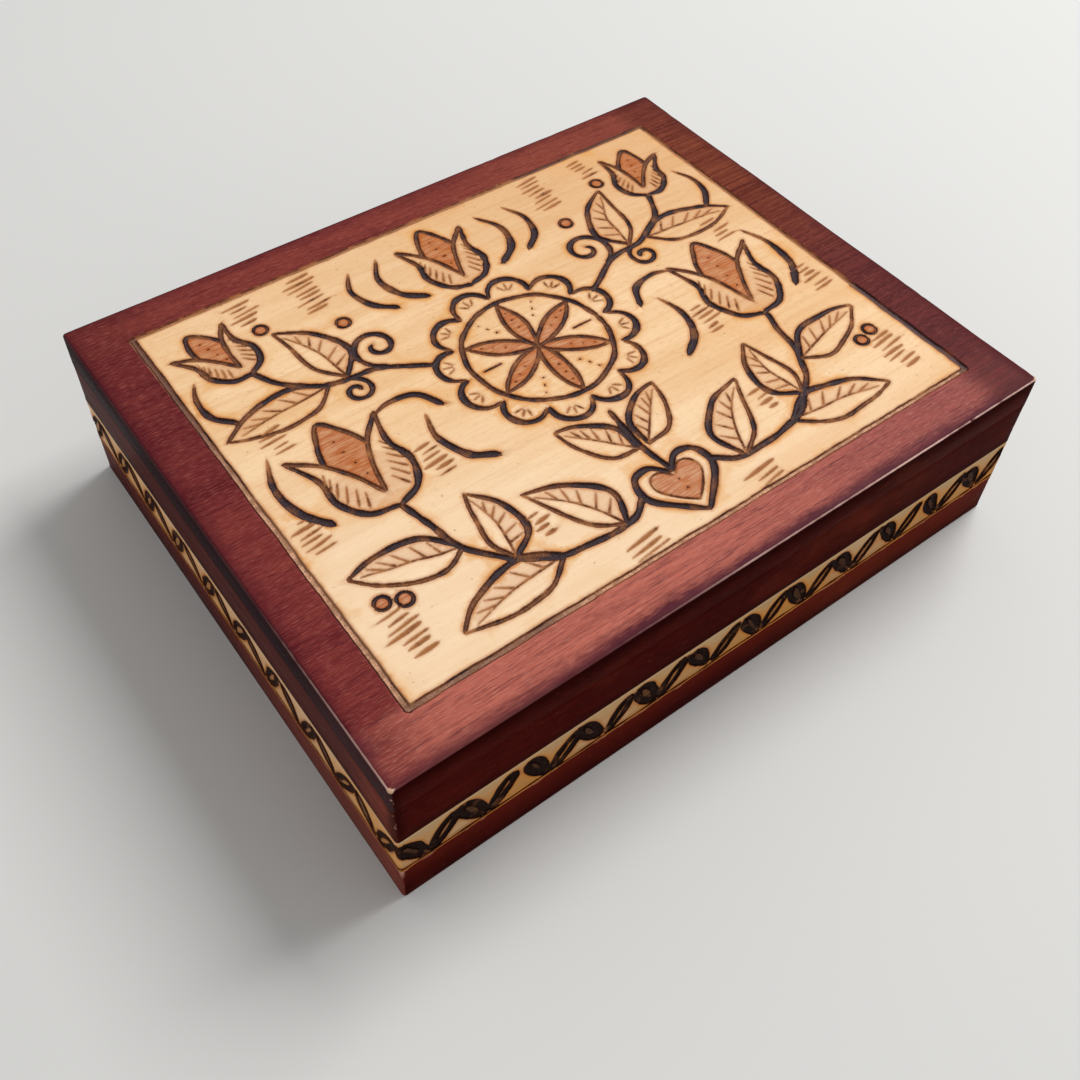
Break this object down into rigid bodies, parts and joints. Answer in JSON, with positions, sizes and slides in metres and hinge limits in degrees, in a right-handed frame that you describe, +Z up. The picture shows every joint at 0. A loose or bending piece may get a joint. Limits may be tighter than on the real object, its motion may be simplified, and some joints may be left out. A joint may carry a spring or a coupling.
{
  "type": "hinged keepsake box",
  "caption": "Shallow hinged wooden keepsake box: mitred tray with a band of burnt petals, stained lid round a natural panel with a burnt folk design, brass butt hinges at the back.",
  "frame": {"origin": "middle of the underside, on the surface that the box stands on", "axes": "+X along the box, -Y out of the front where the lid opens, +Y to the hinges, +Z up"},
  "size_m": [0.16, 0.1292, 0.042],
  "materials": {
    "stained_linden": "mahogany stain under satin varnish",
    "natural_linden": "clear satin varnish",
    "brass": "plain rolled brass"
  },
  "bodies": {
    "base": {"base_floor": "natural_linden", "base_front_wall": "stained_linden", "base_back_wall": "stained_linden", "base_left_wall": "stained_linden", "base_right_wall": "stained_linden", "base_hinge_leaf_left": "brass", "base_hinge_leaf_right": "brass", "hinge_pin_left": "brass", "hinge_pin_right": "brass", "base_hinge_screws": "brass"},
    "lid": {"lid_top_board": "stained_linden", "lid_front_rail": "stained_linden", "lid_back_rail": "stained_linden", "lid_left_rail": "stained_linden", "lid_right_rail": "stained_linden", "lid_hinge_leaf_left": "brass", "lid_hinge_leaf_right": "brass", "lid_hinge_screws": "brass"}
  },
  "joints": [
    {"name": "lid_hinge", "type": "hinge", "parent": "base", "child": "lid", "pos_m": [0, 0.06325, 0.0225], "axis": [-1, 0, 0], "range_deg": [0, 105]}
  ]
}
